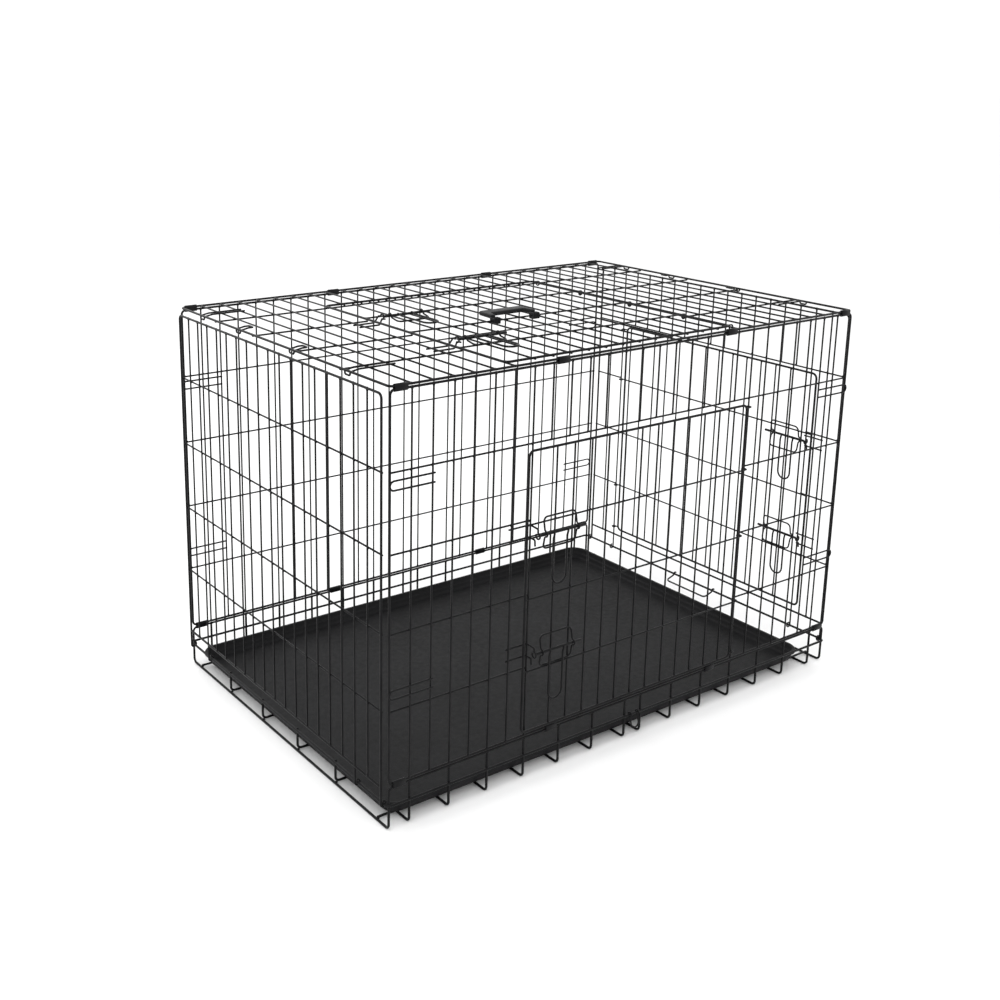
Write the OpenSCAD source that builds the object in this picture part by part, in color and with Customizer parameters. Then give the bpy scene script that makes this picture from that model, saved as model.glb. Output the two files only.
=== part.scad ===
// Folding wire dog crate: a wire base with a sliding tray, a front, back and top panel
// joined by sleeve clips, two end panels that fold inwards, and three doors with slide bolts.
// Units are millimetres. +X is the right end, -Y the front, +Z up; the origin is on the floor.

/* [Crate] */
// Length of the front panel
crate_length = 1070; // [1040:1:1100]
// Distance between the centres of the front and back panels
crate_depth = 710; // [690:1:730]
// Height of the top panel's frame above the floor
crate_height = 735; // [715:1:755]
// Height of the first horizontal wire
rail_first = 206; // [200:1:212]
// Step between horizontal wires
rail_step = 131; // [126:1:133]

/* [Wires] */
// Thickness of the panels' frame wires
frame_d = 4.2; // [4:0.1:5]
// Thickness of the mesh wires
mesh_d = 3.2; // [2.6:0.1:3.4]
// Thickness of the base wires
base_d = 4.5; // [4:0.1:4.6]
// Thickness of the doors' edge wires
door_d = 4.4; // [4:0.1:4.6]
// Thickness of the bolts
bolt_d = 5; // [4:0.1:5]
// Depth that crossing wires are pressed together at a weld
weld = 0.4; // [0.2:0.1:0.5]

/* [Base] */
// Height of the wire that runs round the base
ring_z = 45; // [43:1:48]
// Height of the front and back lips
lip_z = 76; // [72:1:80]
// Height of the tray's rim
tray_h = 24; // [20:1:25]
// Length of the tray
tray_length = 1018; // [980:1:1020]
// Width of the tray
tray_width = 690; // [670:1:694]
// Thickness of the tray's plastic
tray_wall = 2.5; // [2:0.1:3]

/* [Doors] */
// Distance of a door's plane outside its panel
door_lift = 4.2; // [4:0.1:4.6]
// How far a door's free edge laps over its panel
door_lap = 10; // [8:1:15]
// Opening angle of the tray stop that is shown
stop_raised = 72; // [70:1:80]

/* [Carry handle] */
// Distance between the handle's two clips
handle_span = 92; // [88:1:96]
// Reach of the handle from its hinge wire
handle_reach = 48; // [44:1:52]

/* [Hidden] */
$fn = 32;

wire_color = "#1c1c1d";
plastic_color = "#242425";

// Panels. Each is drawn flat, with u along it, v up it and w out of the crate.
cross_w = -(mesh_d - weld);          // horizontals sit inside the uprights
outer_w = mesh_d - weld;             // fittings sit outside the uprights
half_u = crate_length / 2 - frame_d / 2;
long_count = 27;
long_pitch = 2 * half_u / long_count;
half_depth = crate_depth / 2;
hinge_gap = frame_d + 1;             // between the centres of two rails in a sleeve
top_z = crate_height - frame_d / 2;
side_top = top_z - hinge_gap;
side_bottom = lip_z + hinge_gap;
corner_sleeve_x = 514;
hook_nose = -crate_length / 2 - 0.9 + mesh_d / 2;
hook_overlap = 3;                     // past the upright that its legs are welded to
hook_half = 7.5;
rail_heights = [for (k = [0:3]) rail_first + k * rail_step];
end_hinge_x = crate_length / 2 + 2;
end_hinge_r = base_d / 2 + 0.35 + frame_d / 2;
end_plane_x = end_hinge_x + end_hinge_r;
end_half = half_depth - 9.5;
end_count = 18;
end_pitch = 2 * end_half / end_count;
end_loops = [0, 2, end_count - 2, end_count];
end_top = crate_height - 13.5;
ring_y = half_depth + base_d - 0.9;
top_long_rows = [for (k = [-1.5:1:1.5]) k * 143];

// Door openings, as indices of the wires at their free edge and hinge edge
front_free = 7;
front_hinge = 20;
end_free = 2;
end_hinge = 16;
top_free = 6;
top_hinge = 19;
door_edge = 9;                       // hinge wire to the door's own edge wire
door_drop = 5;                       // door rails sit below the panel's rails
front_door_low = side_bottom + 8;
front_door_high = rail_heights[3] - 10;
top_door_low = -half_depth + 14;
top_door_high = top_long_rows[3] - 8;
door_mesh_pitch = 38.4;
door_first = 62;                     // free edge to the first inner wire
curl_r = door_lift;
curl_d = 3;
panel_rows = [for (k = [0:2]) rail_heights[k]];
top_panel_rows = [for (k = [0:2]) top_long_rows[k]];
door_rows = [for (v = panel_rows) v - door_drop];
top_door_rows = [for (v = top_panel_rows) v - door_drop];
front_free_u = -half_u + front_free * long_pitch - door_lap;
end_free_u = -end_half + end_free * end_pitch - door_lap;
top_free_u = -half_u + top_free * long_pitch - door_lap;

// Latches
front_latches = [443, 232];
end_latches = [443, 232];
top_latches = [36, -190];
latch_w = 6.5;                       // bolt's height over the door's plane
guide_d = 3.2;
guide_u = [35, 104];                 // guides, from the door's free edge
guide_half = 27.5;
bolt_tip = 22;                       // drawn back by bolt_travel
bolt_travel = 12;
bolt_length = 101;
grip_u = [52, 82];
grip_drop = 93;
grip_d = 3.6;
keeper_u = bolt_tip - bolt_travel + 8;
keeper_legs = [-4, 17];              // below and above the bolt
keeper_reach = 43;                   // over two uprights
keeper_post = 12;                    // bolt to the ring post's top
keeper_r = 5;

// Carry handle
handle_u = top_free_u + door_first + 4.5 * door_mesh_pitch;
handle_v = top_door_rows[1];
handle_low = 2.3;
clip_length = 16;

// Base
base_pitches = [0, 1, 3, 5, 7, 9, 11, 13, 14, 16, 18, 20, 22, 24, 26, 27];
base_rows = [for (k = [-2.5:1:2.5]) k * 128.6];
base_end_x = crate_length / 2 - base_d / 2;
base_long_z = base_d / 2 + base_d - weld;
tray_z = base_long_z + base_d / 2 + 0.3;
tray_x = -base_end_x + base_d / 2 + 3 + tray_length / 2;

function u_at(i) = -half_u + i * long_pitch;
function end_u(i) = -end_half + i * end_pitch;
function base_x(i) = -base_end_x + i * 2 * base_end_x / long_count;
function arc_points(cx, cy, r, from, steps) =
  [for (k = [0:steps]) [cx + r * cos(from + 90 * k / steps), cy + r * sin(from + 90 * k / steps)]];
function rounded_outline(a, b, r) = concat(
  arc_points(a / 2 - r, b / 2 - r, r, 0, 8), arc_points(-a / 2 + r, b / 2 - r, r, 90, 8),
  arc_points(-a / 2 + r, -b / 2 + r, r, 180, 8), arc_points(a / 2 - r, -b / 2 + r, r, 270, 8));

// Straight wires along each axis, from one end to the other
module wire_u(u1, u2, v, w, d) {
  translate([u1, v, w]) rotate([0, 90, 0]) cylinder(d = d, h = u2 - u1);
}
module wire_v(u, v1, v2, w, d) {
  translate([u, v2, w]) rotate([90, 0, 0]) cylinder(d = d, h = v2 - v1);
}
module wire_w(u, v, w1, w2, d) {
  translate([u, v, w1]) cylinder(d = d, h = w2 - w1);
}
// Straight wire between any two points
module strut(p, q, d) {
  s = q - p;
  h = norm(s);
  translate(p) rotate([0, acos(s[2] / h), atan2(s[1], s[0])]) cylinder(d = d, h = h);
}
// Ring of round wire in the plane across z
module eye(r, d) {
  rotate_extrude() translate([r, 0]) circle(d = d);
}
// Curl: an open ring that starts at +x, heading towards +y
module curl(r, d, turn) {
  rotate_extrude(angle = turn) translate([r, 0]) circle(d = d);
}
// Hairpin along u: two legs and a half-round end towards -u
module hairpin(u1, u2, half, d) {
  for (s = [-1, 1]) wire_u(u1 + half, u2, s * half, 0, d);
  translate([u1 + half, 0, 0]) rotate(90) curl(half, d, 180);
}

// Places for the flat panels
module on_front() {
  translate([0, -half_depth, 0]) rotate([90, 0, 0]) children();
}
module on_back() {
  translate([0, half_depth, 0]) rotate([90, 0, 180]) children();
}
module on_right() {
  translate([end_plane_x, 0, 0]) rotate([90, 0, 90]) children();
}
module on_left() {
  translate([-end_plane_x, 0, 0]) rotate([90, 0, -90]) children();
}
module on_top() {
  translate([0, 0, top_z]) children();
}

// Upright wires of a long panel; between the free and hinge indices they start above a door
module long_uprights(low, high, door_top, free, hinge) {
  for (i = [0:long_count]) {
    edge = i == 0 || i == long_count;
    from = i > free && i < hinge ? door_top : low;
    wire_v(u_at(i), from, high, 0, edge ? frame_d : mesh_d);
  }
}
// Horizontal wires of a panel with a gap for a door
module split_rails(heights, half, gap_from, gap_to) {
  for (v = heights) {
    wire_u(-half, gap_from, v, cross_w, mesh_d);
    wire_u(gap_to, half, v, cross_w, mesh_d);
  }
}
module edge_rails(low, high, half) {
  for (v = [low, high]) wire_u(-half, half, v, 0, frame_d);
}
// Pairs of hairpins that grip the end panels, at one corner and its mirror
module corner_hooks() {
  heights = [237, 580];
  for (v = heights) for (m = [0, 1]) mirror([m, 0, 0])
    translate([0, v, outer_w]) hairpin(hook_nose, u_at(2) + hook_overlap, hook_half, mesh_d);
}

// Sleeve of bent sheet round two parallel rails that lie one above the other
module sleeve(x, y, own_z, other_z) {
  length = 24;
  wall = 1;
  loose_r = base_d / 2 + 0.4;
  middle = (own_z + other_z) / 2;
  outer = 2 * (loose_r + wall);
  translate([x - length / 2, y, 0]) rotate([90, 0, 90]) linear_extrude(length) difference() {
    translate([0, middle]) square([outer, hinge_gap + outer], center = true);
    translate([0, own_z]) circle(r = frame_d / 2 - 0.05);
    translate([0, other_z]) circle(r = loose_r);
    translate([0, middle]) square([frame_d * 0.7, hinge_gap * 0.8], center = true);
  }
}
module sleeve_row(y, own_z, other_z) {
  for (s = [-1, 1]) for (x = [5 * long_pitch, corner_sleeve_x]) sleeve(s * x, y, own_z, other_z);
}

// Keeper on a panel: two legs behind two uprights, which come out through the door's frame to
// a ring for the bolt's tip
module keeper(free_u, v) {
  ring_w = door_lift + latch_w;
  ring_u = free_u + keeper_u;
  post_u = free_u + door_lap;
  foot_u = post_u + 2;
  inset = keeper_r * sin(45);
  translate([0, v, 0]) {
    for (s = keeper_legs) wire_u(post_u - keeper_reach, foot_u, s, cross_w, mesh_d);
    strut([foot_u - 0.5, keeper_legs[0], cross_w], [ring_u, -inset, ring_w - inset], mesh_d);
    strut([foot_u - 0.5, keeper_legs[1], cross_w], [ring_u, keeper_post, ring_w], mesh_d);
    wire_v(ring_u, keeper_r, keeper_post + 0.3, ring_w, mesh_d - 0.2);
    translate([ring_u, 0, ring_w]) rotate([0, 90, 0]) eye(keeper_r, mesh_d);
  }
}
// Guide on a door: a wire frame whose two sides are pinched into rings round the bolt
module guide(free_u, v) {
  ring = bolt_d / 2 + 0.35 + guide_d / 2;
  plane = cross_w + mesh_d - weld;
  translate([free_u, v, 0]) {
    for (s = [-1, 1]) wire_u(guide_u[0] - 2, guide_u[1] + 2, s * guide_half, plane, guide_d);
    for (u = guide_u) {
      for (s = [-1, 1])
        strut([u, s * guide_half, plane], [u, s * ring * 0.6, latch_w - ring * 0.8], guide_d - 0.4);
      translate([u, 0, latch_w]) rotate([0, 90, 0]) eye(ring, guide_d);
    }
  }
}
// Bolt with its hanging grip, drawn back so that the door is free
module bolt(free_u, v) {
  middle = (grip_u[0] + grip_u[1]) / 2;
  half = (grip_u[1] - grip_u[0]) / 2;
  translate([free_u, v, latch_w]) {
    wire_u(bolt_tip, bolt_tip + bolt_length, 0, 0, bolt_d);
    for (u = grip_u) wire_v(u, -grip_drop + half, 0, 0, grip_d);
    translate([middle, -grip_drop + half, 0]) rotate(180)
      rotate_extrude(angle = 180) translate([half, 0]) circle(d = grip_d);
  }
}

// Door parts, drawn flat in the door's own plane
module door_uprights(free_u, hinge_u, low, high) {
  last_u = hinge_u - door_edge;
  count = floor((last_u - free_u - door_first) / door_mesh_pitch);
  for (u = [free_u, last_u]) wire_v(u, low, high, 0, door_d);
  for (k = [0:count]) wire_v(free_u + door_first + k * door_mesh_pitch, low, high, cross_w, mesh_d);
}
module door_rails(free_u, hinge_u, low, high, heights) {
  last_u = hinge_u - door_edge;
  for (v = [low, high]) wire_u(free_u, last_u, v, 0, door_d);
  for (v = heights) wire_u(free_u, hinge_u, v, 0, mesh_d);
  for (v = [low + 6, high - 6]) wire_u(last_u, hinge_u, v, 0, curl_d);
}
// Curls round the hinge wire, at the ends of the rails and of two short arms
module door_curls(hinge_u, low, high, heights) {
  for (v = concat([low + 6, high - 6], heights))
    translate([hinge_u, v, -door_lift]) rotate([-90, -90, 0]) curl(curl_r, curl_d, 300);
}
// Base
module base_floor_wires() {
  color(wire_color) for (i = base_pitches)
    translate([base_x(i), half_depth, base_d / 2]) rotate([90, 0, 0])
      cylinder(d = base_d, h = crate_depth);
}
module base_risers() {
  color(wire_color) for (i = base_pitches) for (s = [-1, 1])
    wire_w(base_x(i), s * half_depth, 0, lip_z, base_d);
}
module base_long_wires() {
  color(wire_color) for (y = base_rows) wire_u(-base_end_x, base_end_x, y, base_long_z, base_d);
}
module base_end_posts() {
  color(wire_color) for (k = [1:4]) wire_w(-base_end_x, base_rows[k], base_long_z, ring_z + 2, base_d);
}
module base_side_rings() {
  color(wire_color) for (s = [-1, 1]) wire_u(-end_hinge_x, end_hinge_x, s * ring_y, ring_z, base_d);
}
module base_end_rings() {
  color(wire_color) for (s = [-1, 1]) wire_v(s * end_hinge_x, -ring_y, ring_y, ring_z, base_d);
}
module base_lips() {
  color(wire_color) for (s = [-1, 1])
    wire_u(-crate_length / 2, crate_length / 2, s * half_depth, lip_z, frame_d);
}

// Tray: a shallow pan with a stepped side and a turned-out rim
module tray() {
  step = 6;
  corner = 35;
  pan = [tray_length - 2 * step, tray_width - 2 * step];
  color(plastic_color) translate([tray_x, 0, tray_z]) difference() {
    union() {
      linear_extrude(tray_h) polygon(rounded_outline(pan[0], pan[1], corner - step));
      translate([0, 0, tray_h * 0.55]) linear_extrude(tray_h * 0.45)
        polygon(rounded_outline(pan[0] + step, pan[1] + step, corner - step / 2));
      translate([0, 0, tray_h - tray_wall]) linear_extrude(tray_wall)
        polygon(rounded_outline(tray_length, tray_width, corner));
    }
    translate([0, 0, tray_wall]) linear_extrude(tray_h)
      polygon(rounded_outline(pan[0] - 2 * tray_wall, pan[1] - 2 * tray_wall,
        corner - step - tray_wall));
    translate([0, 0, tray_h * 0.55 + tray_wall]) linear_extrude(tray_h)
      polygon(rounded_outline(pan[0] + step - 2 * tray_wall, pan[1] + step - 2 * tray_wall,
        corner - step / 2 - tray_wall));
  }
}

// Stop for the tray: a loop hinged on the right end's ring wire, shown lifted inwards
module tray_stop() {
  stop_half = 58;
  drop = 28;
  bend = 8;
  d = 3.6;
  color(wire_color) translate([end_hinge_x, 0, ring_z]) rotate([0, stop_raised, 0]) {
    for (s = [-1, 1]) {
      translate([0, s * stop_half, 0]) rotate([90, 0, 0]) eye(base_d / 2 + 0.4 + d / 2, d);
      wire_w(0, s * stop_half, -drop + bend, -base_d / 2 - 1.2, d);
      translate([0, s * (stop_half - bend), -drop + bend]) rotate([90, 0, 90])
        rotate(s > 0 ? -90 : 180) curl(bend, d, 90);
    }
    wire_v(0, -stop_half + bend, stop_half - bend, -drop, d);
  }
}

// Hook on the front ring wire that holds the crate shut when it is folded
module fold_hook() {
  half = 9;
  drop = 26;
  d = 3;
  tilt = 14;
  color(wire_color) translate([0, -ring_y, ring_z]) rotate([-tilt, 0, 0]) {
    for (s = [-1, 1]) {
      translate([s * half, 0, 0]) rotate([0, 90, 0]) eye(base_d / 2 + 0.4 + d / 2, d);
      wire_w(s * half, 0, -drop + half, -base_d / 2 - 1.2, d);
    }
    translate([0, 0, -drop + half]) rotate([90, 0, 0]) rotate(180)
      curl(half, d, 180);
  }
}

// Back panel
module back_uprights() {
  color(wire_color) on_back() long_uprights(side_bottom, side_top, side_bottom, 0, 0);
}
module back_rails() {
  color(wire_color) on_back() {
    edge_rails(side_bottom, side_top, half_u);
    for (v = rail_heights) wire_u(-half_u, half_u, v, cross_w, mesh_d);
  }
}
module back_corner_hooks() {
  color(wire_color) on_back() corner_hooks();
}
module back_sleeves() {
  color(wire_color) sleeve_row(half_depth, side_bottom, lip_z);
}

// Front panel
module front_uprights() {
  color(wire_color) on_front()
    long_uprights(side_bottom, side_top, rail_heights[3], front_free, front_hinge);
}
module front_rails() {
  color(wire_color) on_front() {
    edge_rails(side_bottom, side_top, half_u);
    split_rails(panel_rows, half_u, u_at(front_free), u_at(front_hinge));
    wire_u(-half_u, half_u, rail_heights[3], cross_w, mesh_d);
  }
}
module front_corner_hooks() {
  color(wire_color) on_front() corner_hooks();
}
module front_sleeves() {
  color(wire_color) sleeve_row(-half_depth, side_bottom, lip_z);
}
module front_keepers() {
  color(wire_color) on_front() for (v = front_latches) keeper(front_free_u, v);
}

// Top panel: its cross wires stop behind the door, at the rear long wire
module top_cross_wires() {
  color(wire_color) on_top()
    long_uprights(-half_depth, half_depth, top_long_rows[3], top_free, top_hinge);
}
module top_long_wires() {
  color(wire_color) on_top() {
    edge_rails(-half_depth, half_depth, half_u);
    split_rails(top_panel_rows, half_u, u_at(top_free), u_at(top_hinge));
    wire_u(-half_u, half_u, top_long_rows[3], cross_w, mesh_d);
  }
}
module top_end_hooks() {
  long_rows = [-240, 262];
  short_rows = [-68, 120];
  short_tail = -half_u + 24;
  color(wire_color) on_top() for (m = [0, 1]) mirror([m, 0, 0]) {
    for (v = long_rows) translate([0, v, outer_w])
      hairpin(hook_nose, u_at(2) + hook_overlap, hook_half, mesh_d);
    for (v = short_rows) translate([0, v, outer_w])
      hairpin(hook_nose, short_tail, hook_half, mesh_d);
  }
}
module top_sleeves() {
  color(wire_color) for (s = [-1, 1]) sleeve_row(s * half_depth, top_z, side_top);
}
module top_keepers() {
  color(wire_color) on_top() for (v = top_latches) keeper(top_free_u, v);
}

// End panels
module end_uprights(low, high, door_top, free, hinge) {
  for (i = [0:end_count]) {
    edge = i == 0 || i == end_count;
    from = len(search(i, end_loops)) > 0 ? ring_z : i > free && i < hinge ? door_top : low;
    wire_v(end_u(i), from, high, 0, edge ? frame_d : mesh_d);
  }
}
// Curls round the ring wire, at the lower ends of the four longest uprights
module hinge_loops() {
  for (i = end_loops)
    translate([end_u(i), ring_z, -end_hinge_r]) rotate([0, 90, 0]) rotate(180)
      curl(end_hinge_r, i == 0 || i == end_count ? frame_d : mesh_d, 300);
}
module left_uprights() {
  color(wire_color) on_left() end_uprights(lip_z, end_top, lip_z, 0, 0);
}
module left_rails() {
  color(wire_color) on_left() {
    edge_rails(lip_z, end_top, end_half);
    for (v = rail_heights) wire_u(-end_half, end_half, v, cross_w, mesh_d);
  }
}
module left_hinge_loops() {
  color(wire_color) on_left() hinge_loops();
}
module right_uprights() {
  color(wire_color) on_right() end_uprights(lip_z, end_top, rail_heights[3], end_free, end_hinge);
}
module right_rails() {
  color(wire_color) on_right() {
    edge_rails(lip_z, end_top, end_half);
    split_rails(panel_rows, end_half, end_u(end_free), end_u(end_hinge));
    wire_u(-end_half, end_half, rail_heights[3], cross_w, mesh_d);
  }
}
module right_hinge_loops() {
  color(wire_color) on_right() hinge_loops();
}
module right_keepers() {
  color(wire_color) on_right() for (v = end_latches) keeper(end_free_u, v);
}

// Front door
module on_front_door() {
  on_front() translate([0, 0, door_lift]) children();
}
module front_door_uprights() {
  color(wire_color) on_front_door()
    door_uprights(front_free_u, u_at(front_hinge), front_door_low, front_door_high);
}
module front_door_rails() {
  color(wire_color) on_front_door() door_rails(front_free_u, u_at(front_hinge),
    front_door_low, front_door_high, door_rows);
}
module front_door_curls() {
  color(wire_color) on_front_door()
    door_curls(u_at(front_hinge), front_door_low, front_door_high, door_rows);
}
module front_door_guides() {
  color(wire_color) on_front_door() for (v = front_latches) guide(front_free_u, v);
}
module front_upper_bolt() {
  color(wire_color) on_front_door() bolt(front_free_u, front_latches[0]);
}
module front_lower_bolt() {
  color(wire_color) on_front_door() bolt(front_free_u, front_latches[1]);
}

// End door
module on_end_door() {
  on_right() translate([0, 0, door_lift]) children();
}
module end_door_uprights() {
  color(wire_color) on_end_door()
    door_uprights(end_free_u, end_u(end_hinge), front_door_low, front_door_high);
}
module end_door_rails() {
  color(wire_color) on_end_door() door_rails(end_free_u, end_u(end_hinge),
    front_door_low, front_door_high, door_rows);
}
module end_door_curls() {
  color(wire_color) on_end_door()
    door_curls(end_u(end_hinge), front_door_low, front_door_high, door_rows);
}
module end_door_guides() {
  color(wire_color) on_end_door() for (v = end_latches) guide(end_free_u, v);
}
module end_upper_bolt() {
  color(wire_color) on_end_door() bolt(end_free_u, end_latches[0]);
}
module end_lower_bolt() {
  color(wire_color) on_end_door() bolt(end_free_u, end_latches[1]);
}

// Top door
module on_top_door() {
  on_top() translate([0, 0, door_lift]) children();
}
module top_door_cross_wires() {
  color(wire_color) on_top_door()
    door_uprights(top_free_u, u_at(top_hinge), top_door_low, top_door_high);
}
module top_door_long_wires() {
  color(wire_color) on_top_door() door_rails(top_free_u, u_at(top_hinge),
    top_door_low, top_door_high, top_door_rows);
}
module top_door_curls() {
  color(wire_color) on_top_door()
    door_curls(u_at(top_hinge), top_door_low, top_door_high, top_door_rows);
}
module top_door_guides() {
  color(wire_color) on_top_door() for (v = top_latches) guide(top_free_u, v);
}
module top_rear_bolt() {
  color(wire_color) on_top_door() bolt(top_free_u, top_latches[0]);
}
module top_front_bolt() {
  color(wire_color) on_top_door() bolt(top_free_u, top_latches[1]);
}

// Carry handle, hinged on the top door's second long wire and lying towards the back
module carry_handle() {
  arm = 12;
  thick = 8;
  grip = 24;
  color(plastic_color) on_top_door() translate([handle_u, handle_v, handle_low])
    linear_extrude(thick) difference() {
      translate([0, handle_reach / 2 + 2])
        polygon(rounded_outline(handle_span + arm, handle_reach - 4, 6));
      translate([0, handle_reach - grip - 20]) square([handle_span - arm, 40], center = true);
    }
}
module handle_clips() {
  color(plastic_color) on_top_door() for (s = [-1, 1])
    translate([handle_u + s * handle_span / 2 - clip_length / 2, handle_v, 0]) rotate([0, 90, 0])
      difference() {
        cylinder(d = 12, h = clip_length);
        translate([0, 0, -1]) cylinder(r = mesh_d / 2 + 0.08, h = clip_length + 2);
      }
}

base_floor_wires();
base_risers();
base_long_wires();
base_end_posts();
base_side_rings();
base_end_rings();
base_lips();
tray();
tray_stop();
fold_hook();
back_uprights();
back_rails();
back_corner_hooks();
back_sleeves();
front_uprights();
front_rails();
front_corner_hooks();
front_sleeves();
front_keepers();
top_cross_wires();
top_long_wires();
top_end_hooks();
top_sleeves();
top_keepers();
left_uprights();
left_rails();
left_hinge_loops();
right_uprights();
right_rails();
right_hinge_loops();
right_keepers();
front_door_uprights();
front_door_rails();
front_door_curls();
front_door_guides();
end_door_uprights();
end_door_rails();
end_door_curls();
end_door_guides();
top_door_cross_wires();
top_door_long_wires();
top_door_curls();
top_door_guides();
front_upper_bolt();
front_lower_bolt();
end_upper_bolt();
end_lower_bolt();
top_rear_bolt();
top_front_bolt();
carry_handle();
handle_clips();
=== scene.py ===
"""Looks of the folding wire dog crate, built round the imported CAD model.

Each straight CAD wire is read back from its node's mesh as a rod, and is drawn again here as
coated wire: bent frames, curls, rings, weld beads, rolled clips. Lengths are in metres.
"""
import math

import bmesh
import bpy
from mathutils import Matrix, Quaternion, Vector


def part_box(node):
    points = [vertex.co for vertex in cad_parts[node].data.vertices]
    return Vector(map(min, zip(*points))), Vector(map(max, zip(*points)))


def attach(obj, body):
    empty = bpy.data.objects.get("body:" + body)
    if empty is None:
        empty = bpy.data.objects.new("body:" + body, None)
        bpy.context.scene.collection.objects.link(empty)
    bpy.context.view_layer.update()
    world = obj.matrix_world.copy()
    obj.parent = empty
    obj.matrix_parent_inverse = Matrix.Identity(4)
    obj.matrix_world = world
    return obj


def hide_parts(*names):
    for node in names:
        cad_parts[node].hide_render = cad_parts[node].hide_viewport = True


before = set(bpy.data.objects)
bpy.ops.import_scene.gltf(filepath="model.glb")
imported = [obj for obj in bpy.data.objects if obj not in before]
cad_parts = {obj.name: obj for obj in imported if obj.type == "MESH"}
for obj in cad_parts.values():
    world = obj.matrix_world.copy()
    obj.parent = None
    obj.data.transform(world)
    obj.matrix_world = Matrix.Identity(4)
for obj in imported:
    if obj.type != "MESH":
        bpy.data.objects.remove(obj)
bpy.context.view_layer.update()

MM = 0.001
TAU = 2 * math.pi

# Wire
SIDES = 12                      # faces round a wire
ARC_STEP = math.radians(15)     # largest turn between two rings of a bend
THICK = 4.1 * MM                # CAD rods thicker than this are frame wires
WELD_REACH = 0.6 * MM           # rods this close are welded
PANEL_BEND = 8 * MM             # bend radius at a panel frame's corners
DOOR_BEND = 10 * MM
BASE_BEND = 8 * MM
RING_BEND = 9 * MM

# Latches. A grip's legs are placed from its bolt's tip, a keeper's parts from its ring.
BOLT_D = 5 * MM
GRIP_D = 3.6 * MM
GRIP_LEGS = (30 * MM, 60 * MM)
GUIDE_D = 3.2 * MM
GUIDE_GAP = 0.35 * MM           # round the bolt
GUIDE_BEND = 8 * MM
KEEPER_D = 3.2 * MM
KEEPER_FOOT = 6 * MM            # foot to ring
KEEPER_RISE = 12 * MM           # height over the bolt where the upper wire turns down
KEEPER_DROP = 4 * MM            # bolt down to the lower leg
KEEPER_TAIL = 13 * MM           # lower wire's bent-down end

# Fittings
SLEEVE_WALL = 1 * MM
HOOK_RUN = 16 * MM              # length of an end hook's nose that bends down over the edge
HOOK_SLOPE = 3 * MM             # fall along that run
HOOK_DROP = 8.6 * MM            # to the nose's lowest wire
HOOK_BEND = 3 * MM
LOOP_LENGTH = 40 * MM           # end hooks shorter than this are closed loops
EYE_GAP = 0.4 * MM              # round a wire that carries a hinged loop
CURL_SHARE = 1.06               # gap between a curl's tip and its own wire, in wire widths
KEEPER_BEND = 3 * MM

# Tray stop and fold hook
STOP_D = 3.6 * MM
STOP_REACH = 28 * MM
STOP_RAISED = math.radians(72)
STOP_TIP = Vector((-0.34, 0, 0.94))
STOP_CURL = math.radians(160)
FOLD_HOOK_D = 3 * MM
FOLD_HOOK_HALF = 9 * MM
FOLD_HOOK_DROP = 26 * MM
FOLD_HOOK_TILT = math.radians(14)

# Tray section
TRAY_WALL = 2.5 * MM
TRAY_CORNER = 35 * MM
TRAY_LEDGE = 0.56               # of the tray's height

# Looks
COAT_IOR = 1.2                  # low, so that black parts stay black in a white room
COAT_DARK = (0.004, 0.004, 0.0045)
COAT_PALE = (0.009, 0.009, 0.0095)
TRAY_DARK = (0.006, 0.006, 0.0064)
TRAY_PALE = (0.010, 0.010, 0.0107)
GRIP_DARK = (0.008, 0.008, 0.0085)
GRIP_PALE = (0.013, 0.013, 0.014)
FLOOR_DARK = (0.90, 0.90, 0.90)
FLOOR_PALE = (0.91, 0.91, 0.91)


# ---------------------------------------------------------------- Wire shapes
def rounded(corners, radius, closed=False):
    """Points along straight lines between the corners, with each corner turned as an arc."""
    count = len(corners)
    made = []
    for i, corner in enumerate(corners):
        if not closed and i in (0, count - 1):
            made.append(corner)
            continue
        before = (corners[i - 1] - corner).normalized()
        after = (corners[(i + 1) % count] - corner).normalized()
        turn = math.pi - before.angle(after)
        if turn < 0.01:
            made.append(corner)
            continue
        back = radius * math.tan(turn / 2)
        centre = corner + (before + after).normalized() * (radius / math.cos(turn / 2))
        start = corner + before * back - centre
        axis = start.cross(corner + after * back - centre).normalized()
        steps = max(2, math.ceil(turn / ARC_STEP))
        made += [centre + Quaternion(axis, turn * k / steps) @ start for k in range(steps + 1)]
    return made


def arc(centre, start, axis, turn):
    """Points of an arc round centre, from centre + start, turning about axis."""
    steps = max(3, math.ceil(abs(turn) / ARC_STEP))
    return [centre + Quaternion(axis, turn * k / steps) @ start for k in range(steps + 1)]


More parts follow.
